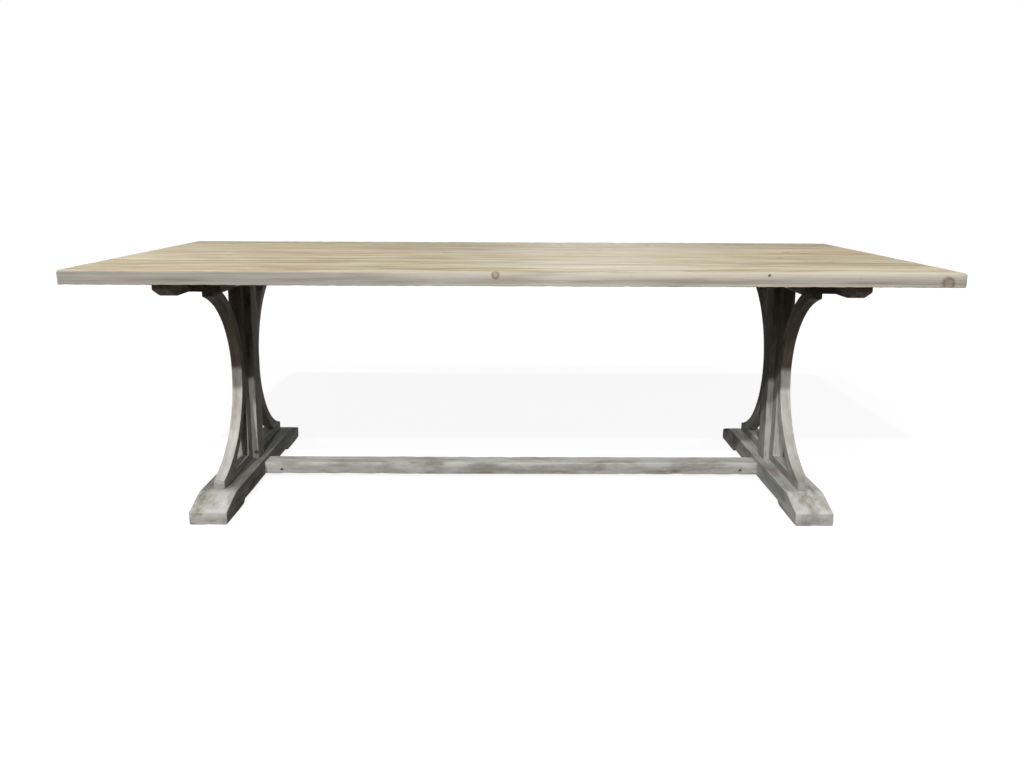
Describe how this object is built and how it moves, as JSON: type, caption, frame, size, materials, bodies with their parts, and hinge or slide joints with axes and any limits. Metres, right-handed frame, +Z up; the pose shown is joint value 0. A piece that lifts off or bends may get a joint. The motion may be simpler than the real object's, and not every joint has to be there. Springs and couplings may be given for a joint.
{
  "type": "trestle dining table",
  "caption": "Long plank dining table on trestle pedestals with curved braces, sled feet and a bolted floor stretcher.",
  "frame": {"origin": "on the floor, under the middle of the table top", "axes": "+X along the boards to the right-hand pedestal, +Y to the rear, +Z up"},
  "size_m": [2.4, 1, 0.75],
  "materials": {
    "top_pine": "limewashed reclaimed pine, matt, open grain",
    "frame_pine": "grey-washed pine, matt, rubbed through at the edges",
    "joint_hardwood": "plain beech, hidden in the joints",
    "zinc_steel": "dull zinc plate"
  },
  "bodies": {
    "root": {"barrel_nuts": "zinc_steel", "board_tongues": "joint_hardwood", "brace_dowels": "joint_hardwood", "cleat_screws": "zinc_steel", "head_strip_dowels": "joint_hardwood", "left_cleat": "frame_pine", "left_foot": "frame_pine", "left_front_brace": "frame_pine", "left_front_head_strip": "frame_pine", "left_front_sill": "frame_pine", "left_front_spine": "frame_pine", "left_head_rail": "frame_pine", "left_post": "frame_pine", "left_rear_brace": "frame_pine", "left_rear_head_strip": "frame_pine", "left_rear_sill": "frame_pine", "left_rear_spine": "frame_pine", "right_cleat": "frame_pine", "right_foot": "frame_pine", "right_front_brace": "frame_pine", "right_front_head_strip": "frame_pine", "right_front_sill": "frame_pine", "right_front_spine": "frame_pine", "right_head_rail": "frame_pine", "right_post": "frame_pine", "right_rear_brace": "frame_pine", "right_rear_head_strip": "frame_pine", "right_rear_sill": "frame_pine", "right_rear_spine": "frame_pine", "sill_dowels": "joint_hardwood", "stretcher": "frame_pine", "stretcher_bolts": "zinc_steel", "stretcher_washers": "zinc_steel", "top_board_1": "top_pine", "top_board_2": "top_pine", "top_board_3": "top_pine", "top_board_4": "top_pine", "top_board_5": "top_pine", "top_board_6": "top_pine", "top_board_7": "top_pine", "top_bolt_inserts": "zinc_steel", "top_bolt_washers": "zinc_steel", "top_bolts": "zinc_steel"}
  },
  "joints": []
}
